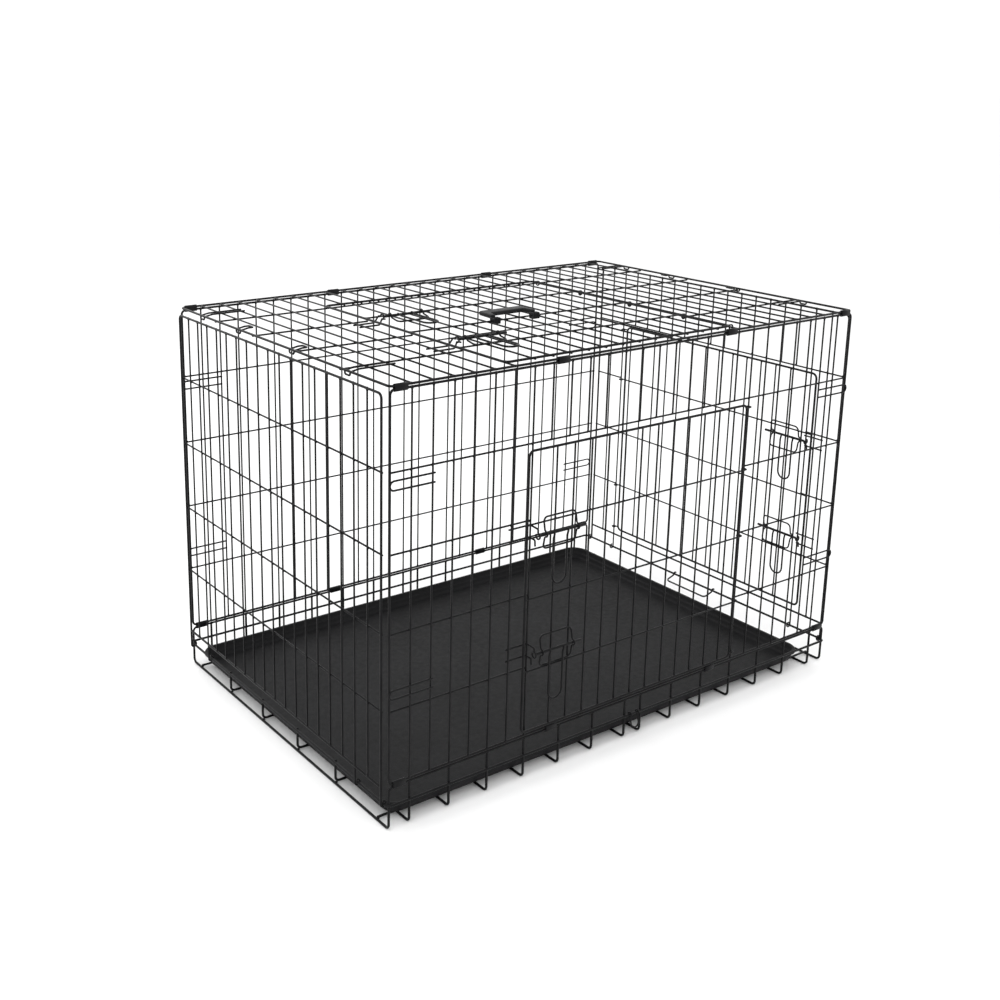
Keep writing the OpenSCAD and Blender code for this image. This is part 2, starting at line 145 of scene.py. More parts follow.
class Shape:
    """Vertices and faces of one piece."""

    def __init__(self):
        self.verts = []
        self.faces = []

    def ring(self, centre, across, up, width, height=None, sides=SIDES):
        """One closed ring of vertices; returns their numbers."""
        first = len(self.verts)
        height = width if height is None else height
        for k in range(sides):
            angle = TAU * k / sides
            self.verts.append(
                centre + across * (width * math.cos(angle)) + up * (height * math.sin(angle))
            )
        return list(range(first, first + sides))

    def skin(self, one, other):
        """Quads between two rings of the same number of vertices."""
        count = len(one)
        for k in range(count):
            after = (k + 1) % count
            self.faces.append((one[k], one[after], other[after], other[k]))

    def fan(self, ring, point):
        """Triangles from a ring to one point."""
        self.verts.append(point)
        tip = len(self.verts) - 1
        for k, number in enumerate(ring):
            self.faces.append((number, ring[(k + 1) % len(ring)], tip))

    def wire(self, points, d, closed=False):
        """Round wire along points. Open ends are cut square, with their edge rounded."""
        radius = d / 2
        count = len(points)
        tangents = []
        for i in range(count):
            if closed:
                step = points[(i + 1) % count] - points[i - 1]
            else:
                step = points[min(i + 1, count - 1)] - points[max(i - 1, 0)]
            tangents.append(step.normalized())
        across = tangents[0].orthogonal().normalized()
        if closed:
            across = (points[1] - points[0]).cross(points[count // 2] - points[0]).normalized()
        rings = []
        for i, (point, along) in enumerate(zip(points, tangents)):
            if i:
                across = tangents[i - 1].rotation_difference(along) @ across
            across = (across - along * across.dot(along)).normalized()
            up = along.cross(across)
            at_start = i == 0 and not closed
            at_end = i == count - 1 and not closed
            ends = ((0.0, 0.62), (0.06, 0.88), (0.22, 1.0))
            if at_start:
                for back, share in ends:
                    rings.append(self.ring(point + along * (back * d), across, up, radius * share))
            elif at_end:
                for back, share in reversed(ends):
                    rings.append(self.ring(point - along * (back * d), across, up, radius * share))
            else:
                rings.append(self.ring(point, across, up, radius))
        for one, other in zip(rings, rings[1:]):
            self.skin(one, other)
        if closed:
            self.skin(rings[-1], rings[0])
        else:
            self.fan(rings[0], points[0])
            self.fan(rings[-1], points[-1])

    def bead(self, centre, u, v, w, sizes):
        """Weld bead: a small flattened ball with half-widths sizes along u, v and w."""
        levels = 3
        rings = []
        for k in range(1, levels + 1):
            tilt = math.pi * (k / (levels + 1) - 0.5)
            share = math.cos(tilt)
            middle = centre + w * (sizes[2] * math.sin(tilt))
            rings.append(self.ring(middle, u, v, sizes[0] * share, sizes[1] * share, 8))
        for one, other in zip(rings, rings[1:]):
            self.skin(one, other)
        self.fan(rings[0], centre - w * sizes[2])
        self.fan(rings[-1], centre + w * sizes[2])

    def tube(self, outline_out, outline_in, length, along):
        """Sheet clip: the wall between two outlines of equal count, run on by length, edges rounded."""
        soft = 0.25 * SLEEVE_WALL
        loops = []
        for outline, side in ((outline_out, 1), (outline_in, -1)):
            middle = sum(outline, Vector()) / len(outline)
            for where in (0, soft, length - soft, length):
                inset = soft * side if where in (0, length) else 0
                first = len(self.verts)
                for p in outline:
                    self.verts.append(p - (p - middle).normalized() * inset + along * where)
                loops.append(list(range(first, first + len(outline))))
        for k in range(3):
            self.skin(loops[k], loops[k + 1])
            self.skin(loops[k + 4], loops[k + 5])
        self.skin(loops[0], loops[4])
        self.skin(loops[3], loops[7])


def make_piece(name, shape, body, nodes, material, smooth_angle=None):
    """Turns a shape into an object that rides on a body and stands for CAD nodes."""
    mesh = bpy.data.meshes.new(name)
    mesh.from_pydata([tuple(v) for v in shape.verts], [], shape.faces)
    work = bmesh.new()
    work.from_mesh(mesh)
    bmesh.ops.recalc_face_normals(work, faces=work.faces)
    for face in work.faces:
        face.smooth = True
    if smooth_angle is not None:
        for edge in work.edges:
            edge.smooth = edge.calc_face_angle(0) < smooth_angle
    work.to_mesh(mesh)
    work.free()
    mesh.materials.append(material)
    piece = bpy.data.objects.new(name, mesh)
    bpy.context.scene.collection.objects.link(piece)
    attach(piece, body)
    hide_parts(*nodes)
    return piece


# ---------------------------------------------------------------- Reading the frame
def solid_boxes(node):
    """(low, high) of each separate solid in a CAD node."""
    work = bmesh.new()
    work.from_mesh(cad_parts[node].data)
    bmesh.ops.remove_doubles(work, verts=work.verts, dist=1e-6)
    unseen = set(work.verts)
    boxes = []
    while unseen:
        queue = [unseen.pop()]
        low = queue[0].co.copy()
        high = queue[0].co.copy()
        while queue:
            vert = queue.pop()
            for k in range(3):
                low[k] = min(low[k], vert.co[k])
                high[k] = max(high[k], vert.co[k])
            for edge in vert.link_edges:
                other = edge.other_vert(vert)
                if other in unseen:
                    unseen.remove(other)
                    queue.append(other)
        boxes.append((low, high))
    work.free()
    return boxes


class Plane:
    """A panel's own axes: u along it, v up it and w out of the crate."""

    def __init__(self, u, v, node):
        self.u = Vector(u)
        self.v = Vector(v)
        self.w = self.u.cross(self.v)
        low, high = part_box(node)
        self.origin = self.w * ((low + high) / 2).dot(self.w)

    def point(self, u, v, w=0.0):
        return self.origin + self.u * u + self.v * v + self.w * w

    def local(self, world):
        offset = world - self.origin
        return Vector((offset.dot(self.u), offset.dot(self.v), offset.dot(self.w)))

    def boxes(self, node):
        """Boxes of a node's solids in this plane's axes."""
        made = []
        for low, high in solid_boxes(node):
            a = self.local(low)
            b = self.local(high)
            made.append((Vector(map(min, a, b)), Vector(map(max, a, b))))
        return sorted(made, key=lambda box: (round(box[0][1], 4), round(box[0][0], 4)))

    def rods(self, node):
        return [Rod(*box) for box in self.boxes(node)]

    def grouped_boxes(self, node, count):
        """Boxes of a node's solids joined into count groups, one over the other."""
        boxes = self.boxes(node)
        lowest = min(box[0].y for box in boxes)
        highest = max(box[1].y for box in boxes)
        groups = [[] for _ in range(count)]
        for low, high in boxes:
            share = ((low.y + high.y) / 2 - lowest) / (highest - lowest)
            groups[min(count - 1, int(share * count))].append((low, high))
        made = []
        for group in groups:
            low = Vector([min(box[0][k] for box in group) for k in range(3)])
            high = Vector([max(box[1][k] for box in group) for k in range(3)])
            made.append((low, high))
        return made


class Rod:
    """A straight CAD wire, from its solid's box in a plane's axes."""

    def __init__(self, low, high):
        self.low = low
        self.high = high
        self.middle = (low + high) / 2
        size = high - low
        self.axis = max(range(3), key=lambda k: size[k])
        self.d = round(sorted(size)[1] / MM, 1) * MM
        self.start = self.middle.copy()
        self.end = self.middle.copy()
        self.start[self.axis] = low[self.axis]
        self.end[self.axis] = high[self.axis]

    def thick(self):
        return self.d > THICK


def weld(shape, plane, rods, others):
    """Weld beads where the rods touch the others."""
    for rod in rods:
        for other in others:
            low = Vector(map(max, rod.low, other.low))
            high = Vector(map(min, rod.high, other.high))
            if min(high - low) < -WELD_REACH:
                continue
            centre = (low + high) / 2
            thin = min(rod.d, other.d)
            gap = abs(rod.middle.z - other.middle.z)
            if gap > thin / 4:
                sizes = (0.78 * thin, 0.78 * thin, 0.3 * thin)
            else:
                sizes = [0.72 * thin] * 3
                for k in (rod.axis, other.axis):
                    sizes[k] = 0.55 * other.d + 0.5 * thin if k == rod.axis else 0.75 * thin
            point = plane.point(*centre)
            shape.bead(point, plane.u, plane.v, plane.w, sizes)


# ---------------------------------------------------------------- Materials
def node_maker(material):
    tree = material.node_tree

    def add(kind, inputs=None, **settings):
        made = tree.nodes.new(kind)
        for key, value in settings.items():
            setattr(made, key, value)
        for key, value in (inputs or {}).items():
            if isinstance(value, bpy.types.NodeSocket):
                tree.links.new(value, made.inputs[key])
            else:
                made.inputs[key].default_value = value
        return made

    return add


def blend_colour(add, factor, one, other):
    mix = add("ShaderNodeMix", data_type="RGBA")
    for key, value in ((6, (*one, 1)), (7, (*other, 1))):
        mix.inputs[key].default_value = value
    mix.id_data.links.new(factor, mix.inputs[0])
    return mix.outputs[2]


def map_range(add, value, low, high, start=0.3, stop=0.7):
    made = add(
        "ShaderNodeMapRange",
        {"Value": value, "From Min": start, "From Max": stop, "To Min": low, "To Max": high},
    )
    return made.outputs["Result"]


def noise(add, position, scale, detail=3.0):
    made = add("ShaderNodeTexNoise", {"Vector": position, "Scale": scale, "Detail": detail})
    return made.outputs["Fac"]


def new_material(name):
    material = bpy.data.materials.new(name)
    material.use_nodes = True
    shader = material.node_tree.nodes["Principled BSDF"]
    add = node_maker(material)
    position = add("ShaderNodeTexCoord").outputs["Object"]
    return material, shader, add, position


def connect(material, shader, key, socket):
    material.node_tree.links.new(socket, shader.inputs[key])


def coated_wire():
    """Black electro-coat on steel wire: satin, a little orange peel, cloudy thickness."""
    material, shader, add, position = new_material("black_coat")
    clouds = noise(add, position, 38.0)
    peel = noise(add, position, 1400.0, 2.0)
    drips = noise(add, position, 240.0)
    colour = blend_colour(add, map_range(add, clouds, 0, 1), COAT_DARK, COAT_PALE)
    connect(material, shader, "Base Color", colour)
    connect(material, shader, "Roughness", map_range(add, drips, 0.27, 0.43))
    height = add("ShaderNodeMath", {0: peel, 1: drips}, operation="ADD").outputs[0]
    bump = add("ShaderNodeBump", {"Height": height, "Strength": 0.35, "Distance": 0.00008})
    connect(material, shader, "Normal", bump.outputs["Normal"])
    shader.inputs["IOR"].default_value = COAT_IOR
    return material


def grained_plastic(name, dark, pale, rough, grain_scale, grain_depth):
    """Moulded black plastic with a fine leather grain and faint flow clouds."""
    material, shader, add, position = new_material(name)
    clouds = noise(add, position, 7.0)
    scuffs = noise(add, position, 90.0, 6.0)
    colour = blend_colour(add, map_range(add, clouds, 0, 1), dark, pale)
    connect(material, shader, "Base Color", colour)
    connect(material, shader, "Roughness", map_range(add, scuffs, rough - 0.05, rough + 0.07))
    cells = add(
        "ShaderNodeTexVoronoi", {"Vector": position, "Scale": grain_scale}, feature="SMOOTH_F1"
    ).outputs["Distance"]
    fine = noise(add, position, grain_scale * 2.3, 2.0)
    height = add("ShaderNodeMath", {0: cells, 1: fine}, operation="ADD").outputs[0]
    bump = add("ShaderNodeBump", {"Height": height, "Strength": 0.6, "Distance": grain_depth})
    connect(material, shader, "Normal", bump.outputs["Normal"])
    shader.inputs["IOR"].default_value = COAT_IOR
    return material


WIRE = coated_wire()
TRAY = grained_plastic("tray_grain", TRAY_DARK, TRAY_PALE, 0.5, 620.0, 0.00025)
GRIP = grained_plastic("handle_grain", GRIP_DARK, GRIP_PALE, 0.4, 1100.0, 0.0001)


def wire_piece(name, shape, body, *nodes):
    return make_piece(name, shape, body, nodes, WIRE)


# ---------------------------------------------------------------- Planes
FRONT = Plane((1, 0, 0), (0, 0, 1), "front_uprights")
BACK = Plane((-1, 0, 0), (0, 0, 1), "back_uprights")
RIGHT = Plane((0, 1, 0), (0, 0, 1), "right_uprights")
LEFT = Plane((0, -1, 0), (0, 0, 1), "left_uprights")
TOP = Plane((1, 0, 0), (0, 1, 0), "top_cross_wires")
FLOOR = Plane((1, 0, 0), (0, 1, 0), "base_floor_wires")


def straight(shape, plane, rod):
    shape.wire([plane.point(*rod.start), plane.point(*rod.end)], rod.d)


# ---------------------------------------------------------------- Base
def build_base():
    floor_rods = FLOOR.rods("base_floor_wires")
    risers = FLOOR.rods("base_risers")
    long_rods = FLOOR.rods("base_long_wires")
    posts = FLOOR.rods("base_end_posts")
    sides = FLOOR.rods("base_side_rings")
    ends = FLOOR.rods("base_end_rings")
    lips = FLOOR.rods("base_lips")
    d = floor_rods[0].d
    lip_top = lips[0].middle.z
    ring_z = sides[0].middle.z

    cross = Shape()
    outer = max(abs(r.middle.x) for r in floor_rods)
    for rod in floor_rods:
        top = ring_z + d if abs(rod.middle.x) > outer - d else lip_top + 1.5 * MM
        x = rod.middle.x
        corners = [
            FLOOR.point(x, rod.start.y, top),
            FLOOR.point(x, rod.start.y),
            FLOOR.point(x, rod.end.y),
            FLOOR.point(x, rod.end.y, top),
        ]
        cross.wire(rounded(corners, BASE_BEND), d)
    wire_piece("base.cross_wires", cross, "base", "base_floor_wires", "base_risers")

    along = Shape()
    post_at = {round(p.middle.y, 3): p for p in posts}
    for rod in long_rods:
        y, z = rod.middle.y, rod.middle.z
        corners = [FLOOR.point(rod.start.x, y, z), FLOOR.point(rod.end.x, y, z)]
        if round(y, 3) in post_at:
            corners.insert(0, FLOOR.point(rod.start.x, y, post_at[round(y, 3)].high.z))
        along.wire(rounded(corners, BASE_BEND), rod.d)
    weld(along, FLOOR, floor_rods, long_rods)
    wire_piece("base.long_wires", along, "base", "base_long_wires", "base_end_posts")

    ring = Shape()
    x = max(r.middle.x for r in ends)
    y = max(r.middle.y for r in sides)
    corners = [FLOOR.point(a * x, b * y, ring_z) for a, b in ((-1, -1), (1, -1), (1, 1), (-1, 1))]
    ring.wire(rounded(corners, RING_BEND, True), sides[0].d, True)
    weld(ring, FLOOR, risers, sides)
    weld(ring, FLOOR, posts, ends)
    wire_piece("base.ring_wire", ring, "base", "base_side_rings", "base_end_rings")

    lip = Shape()
    for rod in lips:
        corners = [
            FLOOR.point(-outer, rod.middle.y, ring_z - d),
            FLOOR.point(-outer, rod.middle.y, lip_top),
            FLOOR.point(outer, rod.middle.y, lip_top),
            FLOOR.point(outer, rod.middle.y, ring_z - d),
        ]
        lip.wire(rounded(corners, RING_BEND), rod.d)
    weld(lip, FLOOR, [r for r in risers if abs(r.middle.x) < outer - d], lips)
    wire_piece("base.lips", lip, "base", "base_lips")


def rounded_rectangle(half_x, half_y, radius, steps=10):
    """Outline of a rectangle with round corners, as (x, y) pairs."""
    made = []
    for quarter, (sx, sy) in enumerate(((1, 1), (-1, 1), (-1, -1), (1, -1))):
        for k in range(steps + 1):
            angle = math.pi / 2 * (quarter + k / steps)
            made.append(
                (sx * (half_x - radius) + radius * math.cos(angle),
                 sy * (half_y - radius) + radius * math.sin(angle))
            )
    return made


def build_tray():
    """Tray: a vacuum-formed pan. Its section runs from the middle of the floor out to the rim."""
    low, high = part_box("tray")
    middle = (low + high) / 2
    half_x = (high.x - low.x) / 2
    half_y = (high.y - low.y) / 2
    height = high.z - low.z
    wall = TRAY_WALL
    ledge = TRAY_LEDGE * height
    # (inset from the rim's outer edge, height over the tray's underside)
    inside = [
        (60 * MM, wall), (27 * MM, wall), (25 * MM, wall),
        (19 * MM, 1.12 * wall), (16 * MM, 1.6 * wall), (14 * MM, 2.6 * wall),
        (12.6 * MM, ledge - 2 * MM), (12 * MM, ledge - 0.6 * MM), (11 * MM, ledge),
        (9.6 * MM, ledge + 0.3 * MM), (8.6 * MM, ledge + 1.2 * MM),
        (7.4 * MM, height - 2.4 * MM), (6.9 * MM, height - 0.8 * MM), (6.0 * MM, height),
        (2.2 * MM, height), (0.7 * MM, height - 0.6 * MM), (0, height - 2.2 * MM),
    ]
    outside = [
        (0, height - 4.2 * MM), (0.8 * MM, height - 4.6 * MM), (1.7 * MM, height - 4.2 * MM),
        (2.0 * MM, height - 2.6 * MM), (4.4 * MM, height - 2.4 * MM),
        (5.0 * MM, height - 3.6 * MM),
        (6.2 * MM, ledge), (6.6 * MM, ledge - 1.4 * MM), (8.4 * MM, ledge - 2.0 * MM),
        (9.4 * MM, ledge - 3 * MM), (11.4 * MM, wall), (13 * MM, 0.4 * wall),
        (17 * MM, 0), (60 * MM, 0),
    ]
    shape = Shape()
    loops = []
    for inset, z in inside + outside:
        first = len(shape.verts)
        radius = max(TRAY_CORNER - inset, 6 * MM)
        for x, y in rounded_rectangle(half_x - inset, half_y - inset, radius):
            shape.verts.append(Vector((middle.x + x, middle.y + y, low.z + z)))
        loops.append(list(range(first, len(shape.verts))))
    for one, other in zip(loops, loops[1:]):
        shape.skin(one, other)
    shape.faces.append(tuple(loops[0]))
    shape.faces.append(tuple(reversed(loops[-1])))
    make_piece("tray.pan", shape, "tray", ["tray"], TRAY, math.radians(50))


def build_tray_stop():
    """Loop with two curled ends, hinged on the ring wire and drawn lifted as the CAD has it."""
    low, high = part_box("tray_stop")
    pivot = max(FLOOR.rods("base_end_rings"), key=lambda rod: rod.middle.x)
    d = STOP_D
    half = (high.y - low.y - d) / 2
    eye_r = pivot.d / 2 + EYE_GAP + d / 2
    axis = Vector((0, 1, 0))
    turned = Quaternion(axis, STOP_RAISED)
    centre = FLOOR.point(pivot.middle.x, 0, pivot.middle.z)

    def at(x, y, z):
        return centre + turned @ Vector((x, y, z))

    def curl(y):
        """From the curl's tip to where the wire leaves it, hanging down."""
        return arc(at(0, y, 0), turned @ STOP_TIP * eye_r, -axis, STOP_CURL)

    ends = ((-half, -eye_r), (-half, -STOP_REACH), (half, -STOP_REACH), (half, -eye_r))
    corners = [at(0, y, z) for y, z in ends]
    shape = Shape()
    shape.wire(curl(-half) + rounded(corners, BASE_BEND)[1:-1] + curl(half)[::-1], d)
    wire_piece("tray_stop.loop", shape, "tray_stop", "tray_stop")


def build_fold_hook():
    """Hook on the front ring wire: two curls and a hanging loop."""
    low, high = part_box("fold_hook")
    side = min(FLOOR.rods("base_side_rings"), key=lambda rod: rod.middle.y)
    d = FOLD_HOOK_D
    half = FOLD_HOOK_HALF
    eye_r = side.d / 2 + EYE_GAP + d / 2
    turned = Quaternion((1, 0, 0), -FOLD_HOOK_TILT)
    centre = FLOOR.point((low.x + high.x) / 2, side.middle.y, side.middle.z)

    def at(x, y, z):
        return centre + turned @ Vector((x, y, z))

    def eye(x):
        """From the curl's tip to where the wire leaves it, hanging down."""
        angles = [math.radians(a) for a in range(-300, 1, 20)]
        return [at(x, -eye_r * math.sin(a), -eye_r * math.cos(a)) for a in angles]

    angles = [math.radians(a) for a in range(180, -1, -15)]
    middle = -FOLD_HOOK_DROP + half
    bottom = [at(half * math.cos(a), 0, middle - half * math.sin(a)) for a in angles]
    shape = Shape()
    shape.wire(eye(-half) + bottom + eye(half)[::-1], d)
    wire_piece("fold_hook.loop", shape, "fold_hook", "fold_hook")


# ---------------------------------------------------------------- Long panels and top
def rectangle(plane, low_u, high_u, low_v, high_v, w=0.0):
    return [plane.point(u, v, w) for u, v in
            ((low_u, low_v), (high_u, low_v), (high_u, high_v), (low_u, high_v))]


def build_grid(body, plane, uprights_node, rails_node):
    """A welded panel: a bent frame with its uprights, and the rails that cross them."""
    uprights = plane.rods(uprights_node)
    rails = plane.rods(rails_node)
    edges = [r for r in uprights if r.thick()]
    ends = [r for r in rails if r.thick()]
    edge_u = [r.middle.x for r in edges]
    end_v = [r.middle.y for r in ends]
    shape = Shape()
    corners = rectangle(plane, min(edge_u), max(edge_u), min(end_v), max(end_v))
    shape.wire(rounded(corners, PANEL_BEND, True), ends[0].d, True)
    thin = [r for r in uprights if not r.thick()]
    for rod in thin:
        straight(shape, plane, rod)
    weld(shape, plane, thin, ends)
    wire_piece(f"{body}.frame_and_uprights", shape, body, uprights_node, rails_node)

    shape = Shape()
    thin_rails = [r for r in rails if not r.thick()]
    for rod in thin_rails:
        straight(shape, plane, rod)
    weld(shape, plane, thin_rails, uprights)
    wire_piece(f"{body}.rails", shape, body, rails_node)


def build_end(body, plane, uprights_node, rails_node, loops_node):
    """A folding end: a bent frame whose feet curl round the base's ring wire."""
    uprights = plane.rods(uprights_node)
    rails = plane.rods(rails_node)
    ring_r = curl_radius(plane, loops_node)
    edges = sorted((r for r in uprights if r.thick()), key=lambda r: r.middle.x)
    ends = sorted((r for r in rails if r.thick()), key=lambda r: r.middle.y)
    foot = edges[0].low.y
    left, right = edges[0].middle.x, edges[-1].middle.x
    top = ends[-1].middle.y

    def foot_curl(u, d):
        """From the curl's tip up to the wire's foot."""
        turn = TAU - math.acos(1 - CURL_SHARE * d / ring_r)
        return arc(plane.point(u, foot, -ring_r), plane.w * ring_r, plane.u, turn)[::-1]

    shape = Shape()
    d = ends[0].d
    ends_uv = ((left, foot), (left, top), (right, top), (right, foot))
    middle = rounded([plane.point(u, v) for u, v in ends_uv], PANEL_BEND)
    shape.wire(foot_curl(left, d) + middle[1:-1] + foot_curl(right, d)[::-1], d)
    straight(shape, plane, ends[0])
    thin = [r for r in uprights if not r.thick()]
    for rod in thin:
        if rod.low.y < foot + 1 * MM:
            shape.wire(foot_curl(rod.middle.x, rod.d) + [plane.point(*rod.end)], rod.d)
        else:
            straight(shape, plane, rod)
    weld(shape, plane, thin, ends)
    wire_piece(f"{body}.frame_and_uprights", shape, body, uprights_node, rails_node, loops_node)

    shape = Shape()
    thin_rails = [r for r in rails if not r.thick()]
    for rod in thin_rails:
        straight(shape, plane, rod)
    weld(shape, plane, thin_rails, uprights)
    wire_piece(f"{body}.rails", shape, body, rails_node)


def curl_radius(plane, node):
    """Centreline radius of a node's thinnest curl, from the depth of its box."""
    box = min(plane.boxes(node), key=lambda b: b[1].x - b[0].x)
    d = round((box[1].x - box[0].x) / MM, 1) * MM
    return (box[1].z - box[0].z - d) / 2


def build_hooks(name, body, plane, node, over_edge=False):
    """Hairpin hooks at a panel's edge. Hooks that go over the edge are bent down at their nose, and
    the short ones among them are closed loops."""
    shape = Shape()
    for low, high in plane.boxes(node):
        d = high.z - low.z
        v = (low.y + high.y) / 2
        w = (low.z + high.z) / 2
        half = (high.y - low.y - d) / 2
        outward = 1 if low.x + high.x > 0 else -1
        nose = (high.x if outward > 0 else low.x) - outward * d / 2
        tail = low.x if outward > 0 else high.x
        if over_edge:
            path = [
                (tail, w),
                (nose - outward * HOOK_RUN, w),
                (nose, w - HOOK_SLOPE),
                (nose, w - HOOK_DROP),
            ]
            corners = [plane.point(u, v + half, at_w) for u, at_w in path]
            corners += [plane.point(u, v - half, at_w) for u, at_w in reversed(path)]
            looped = (nose - tail) * outward < LOOP_LENGTH
            shape.wire(rounded(corners, HOOK_BEND, looped), d, looped)
        else:
            centre = nose - outward * half
            bend = arc(plane.point(centre, v, w), plane.v * half, plane.w, -outward * math.pi)
            ends = [plane.point(tail, v + side * half, w) for side in (1, -1)]
            shape.wire([ends[0]] + bend + [ends[1]], d)
    wire_piece(name, shape, body, node)


def sleeve_outline(radius, rise, count=40):
    """Stadium round two rails, pinched between them, as (across, along) pairs."""
    made = []
    for k in range(count):
        angle = TAU * (k + 0.5) / count
        along = radius * math.sin(angle) + math.copysign(rise, math.sin(angle))
        waist = 1 - 0.2 * math.exp(-((along / (0.75 * rise)) ** 2))
        made.append((radius * math.cos(angle) * waist, along))
    return made


def build_sleeves(name, body, plane, node):
    """Clips rolled from sheet round two parallel rails."""
    shape = Shape()
    for low, high in plane.boxes(node):
        middle = (low + high) / 2
        half_v = (high.y - low.y) / 2
        half_w = (high.z - low.z) / 2
        radius = min(half_v, half_w)
        rise = max(half_v, half_w) - radius
        outlines = []
        for shrink in (0, SLEEVE_WALL):
            outline = []
            for across, along in sleeve_outline(radius - shrink, rise):
                v, w = (along, across) if half_v > half_w else (across, along)
                outline.append(plane.point(low.x, middle.y + v, middle.z + w))
            outlines.append(outline)
        shape.tube(outlines[0], outlines[1], high.x - low.x, plane.u)
    make_piece(name, shape, body, [node], WIRE, math.radians(50))


# ---------------------------------------------------------------- Doors and latches
def build_door(body, plane, uprights_node, rails_node, curls_node, panel_w):
    """A door: a bent frame, its uprights, and rails whose ends curl round the panel's wire."""
    uprights = plane.rods(uprights_node)
    rails = plane.rods(rails_node)
    edges = sorted((r for r in uprights if r.thick()), key=lambda r: r.middle.x)
    ends = sorted((r for r in rails if r.thick()), key=lambda r: r.middle.y)
    free, last = edges[0].middle.x, edges[-1].middle.x
    low, high = ends[0].middle.y, ends[-1].middle.y
    shape = Shape()
    corners = rectangle(plane, free, last, low, high)
    shape.wire(rounded(corners, DOOR_BEND, True), ends[0].d, True)
    thin = [r for r in uprights if not r.thick()]
    for rod in thin:
        straight(shape, plane, rod)
    weld(shape, plane, thin, ends)
    wire_piece(f"{body}.frame_and_uprights", shape, body, uprights_node, rails_node)

    shape = Shape()
    long_rails = [r for r in rails if not r.thick() and r.high.x - r.low.x > last - free]
    for rod in long_rails:
        shape.wire([plane.point(free, rod.middle.y), plane.point(last, rod.middle.y)], rod.d)
    weld(shape, plane, long_rails, uprights)
    wire_piece(f"{body}.rails", shape, body, rails_node)

    shape = Shape()
    boxes = plane.boxes(curls_node)
    for box_low, box_high in boxes:
        d = round((box_high.y - box_low.y) / MM, 1) * MM
        v = (box_low.y + box_high.y) / 2
        hinge = rails_end(rails)
        turn = TAU - math.acos(1 + CURL_SHARE * d / panel_w)
        curl = arc(plane.point(hinge, v, panel_w), plane.w * -panel_w, plane.v, turn)
        start = last - 2.5 * MM
        shape.wire([plane.point(start, v)] + curl, d)
        shape.bead(plane.point(last, v, 0), plane.u, plane.v, plane.w, (1.4 * d, 0.75 * d, 0.6 * d))
    wire_piece(f"{body}.hinge_curls", shape, body, curls_node, rails_node)


def rails_end(rails):
    """Where a door's rails end, over the hinge wire."""
    return max(r.end.x for r in rails)


def bolt_axis(plane, bolt):
    """Height and offset of a bolt's axis in a plane, and where its tip is."""
    low, high = plane.boxes(bolt)[0]
    return high.y - BOLT_D / 2, (low.z + high.z) / 2, low.x


def build_bolt(name, plane):
    """Slide bolt: a rod, and a grip loop whose ends wrap over the rod."""
    low, high = plane.boxes(name)[0]
    v, w, tip = bolt_axis(plane, name)
    shape = Shape()
    shape.wire([plane.point(tip, v, w), plane.point(high.x, v, w)], BOLT_D)
    left, right = (tip + leg for leg in GRIP_LEGS)
    half = (right - left) / 2
    over = w + 0.45 * BOLT_D
    bottom = plane.point(left + half, low.y + GRIP_D / 2 + half, w)

    def leg(u):
        """From the wrapped end down to where the leg hangs straight."""
        return [
            plane.point(u, v + 0.2 * BOLT_D, over),
            plane.point(u, v - 0.6 * BOLT_D, over),
            plane.point(u, v - 2.2 * BOLT_D, w),
        ]

    bend = arc(bottom, plane.u * -half, plane.w, math.pi)
    shape.wire(leg(left) + bend + leg(right)[::-1], GRIP_D)
    for u in (left, right):
        weld_at = plane.point(u, v, w + 0.3 * BOLT_D)
        sizes = (0.8 * GRIP_D, 0.7 * GRIP_D, 0.35 * GRIP_D)
        shape.bead(weld_at, plane.u, plane.v, plane.w, sizes)
    wire_piece(f"{name}.rod_and_grip", shape, name, name)


def build_guides(body, plane, node, bolts):
    """Bolt guides: one wire bent to a frame, with a hump over the bolt at each side. Its cut ends
    meet under the bolt."""
    shape = Shape()
    ring = BOLT_D / 2 + GUIDE_GAP + GUIDE_D / 2
    for (low, high), bolt in zip(plane.grouped_boxes(node, len(bolts)), bolts):
        v, w, _ = bolt_axis(plane, bolt)
        half = (high.y - low.y - GUIDE_D) / 2
        left = low.x + GUIDE_D / 2
        right = high.x - GUIDE_D / 2

        def side(u, heading):
            """Hump round the bolt, from above to below it, with the lead-in at each end."""
            hump = arc(plane.point(u, v, w), plane.v * ring, plane.u, math.pi)
            before = plane.point(u, v + 1.5 * ring, 0.62 * w)
            after = plane.point(u, v - 1.5 * ring, 0.62 * w)
            return [before] + hump + [after] if heading < 0 else [after] + hump[::-1] + [before]

        middle = (left + right) / 2
        top = [plane.point(left, v + half), plane.point(right, v + half)]
        bottom = [plane.point(right, v - half), plane.point(left, v - half)]
        upper = rounded([side(left, 1)[-1]] + top + [side(right, -1)[0]], GUIDE_BEND)
        first = rounded([plane.point(middle, v - half), bottom[1], side(left, 1)[0]], GUIDE_BEND)
        last = rounded([side(right, -1)[-1], bottom[0], plane.point(middle, v - half)], GUIDE_BEND)
        points = first + side(left, 1)[1:-1] + upper + side(right, -1)[1:-1] + last
        shape.wire(points, GUIDE_D)
    wire_piece(f"{body}.bolt_guides", shape, body, node)


